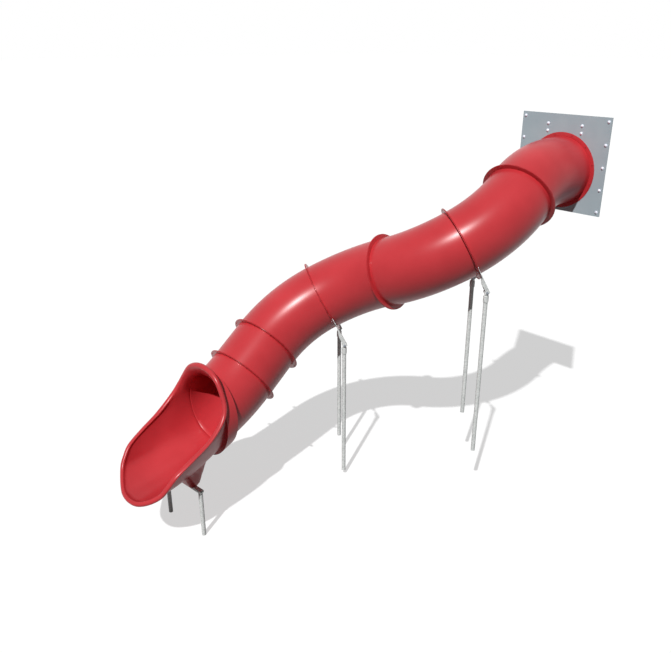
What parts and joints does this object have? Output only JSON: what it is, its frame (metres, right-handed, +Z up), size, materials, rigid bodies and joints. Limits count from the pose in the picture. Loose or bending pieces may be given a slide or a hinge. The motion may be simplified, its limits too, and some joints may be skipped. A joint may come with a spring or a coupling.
{
  "type": "tube slide",
  "caption": "Winding enclosed tube slide of bolted curved sections, from an entry panel to an open flared exit chute, on pivoted steel legs and exit posts",
  "frame": {"origin": "centre of the rectangle of bolts, on the back face of the entry panel", "axes": "+X is the way the slide leaves the panel, square to it; +Z is up; +Y is to the left of someone sliding out"},
  "size_m": [5.3402, 2.7467, 4.3561],
  "materials": {
    "tube": "rotomoulded polyethylene, red, glossy",
    "panel": "light grey coated panel, satin",
    "bolt_caps": "bright domed bolt heads",
    "joint_bolts": "dark low heads on the flanges",
    "fasteners": "zinc plated nuts and bolts",
    "galvanised": "hot dip galvanised, mottled light grey"
  },
  "bodies": {
    "slide": {"panel": "panel", "panel_bolts": "bolt_caps", "panel_cap_bolts": "bolt_caps", "panel_nuts": "fasteners", "entry_bolts": "joint_bolts", "entry_elbow": "tube", "curve_1": "tube", "curve_2": "tube", "curve_3": "tube", "curve_4": "tube", "straight_section": "tube", "exit_bend": "tube", "exit_chute": "tube", "joint_bolts": "joint_bolts", "joint_nuts": "joint_bolts", "exit_screws": "joint_bolts", "arm_nuts": "fasteners", "arm_upper_near": "galvanised", "arm_upper_far": "galvanised", "arm_lower_near": "galvanised", "arm_lower_far": "galvanised", "arm_bolts": "fasteners", "pivot_upper_near": "fasteners", "pivot_upper_far": "fasteners", "pivot_lower_near": "fasteners", "pivot_lower_far": "fasteners", "exit_crossbar": "galvanised", "exit_post_near": "galvanised", "exit_post_far": "galvanised", "exit_bolts": "fasteners"},
    "leg_upper_near": {"head_upper_near": "galvanised", "post_upper_near": "galvanised"},
    "leg_upper_far": {"head_upper_far": "galvanised", "post_upper_far": "galvanised"},
    "leg_lower_near": {"head_lower_near": "galvanised", "post_lower_near": "galvanised"},
    "leg_lower_far": {"head_lower_far": "galvanised", "post_lower_far": "galvanised"}
  },
  "joints": [
    {"name": "upper_near_swing", "type": "hinge", "parent": "slide", "child": "leg_upper_near", "pos_m": [1.67721, 0.24834, -1.18128], "axis": [0.5954, 0.8034, 0], "range_deg": [-15, 15]},
    {"name": "upper_far_swing", "type": "hinge", "parent": "slide", "child": "leg_upper_far", "pos_m": [1.3676, -0.16944, -1.18128], "axis": [0.5954, 0.8034, 0], "range_deg": [-15, 15]},
    {"name": "lower_near_swing", "type": "hinge", "parent": "slide", "child": "leg_lower_near", "pos_m": [2.54669, -1.08583, -1.97943], "axis": [0.5948, 0.8039, 0], "range_deg": [-15, 15]},
    {"name": "lower_far_swing", "type": "hinge", "parent": "slide", "child": "leg_lower_far", "pos_m": [2.23742, -1.50386, -1.97943], "axis": [0.5948, 0.8039, 0], "range_deg": [-15, 15]}
  ]
}
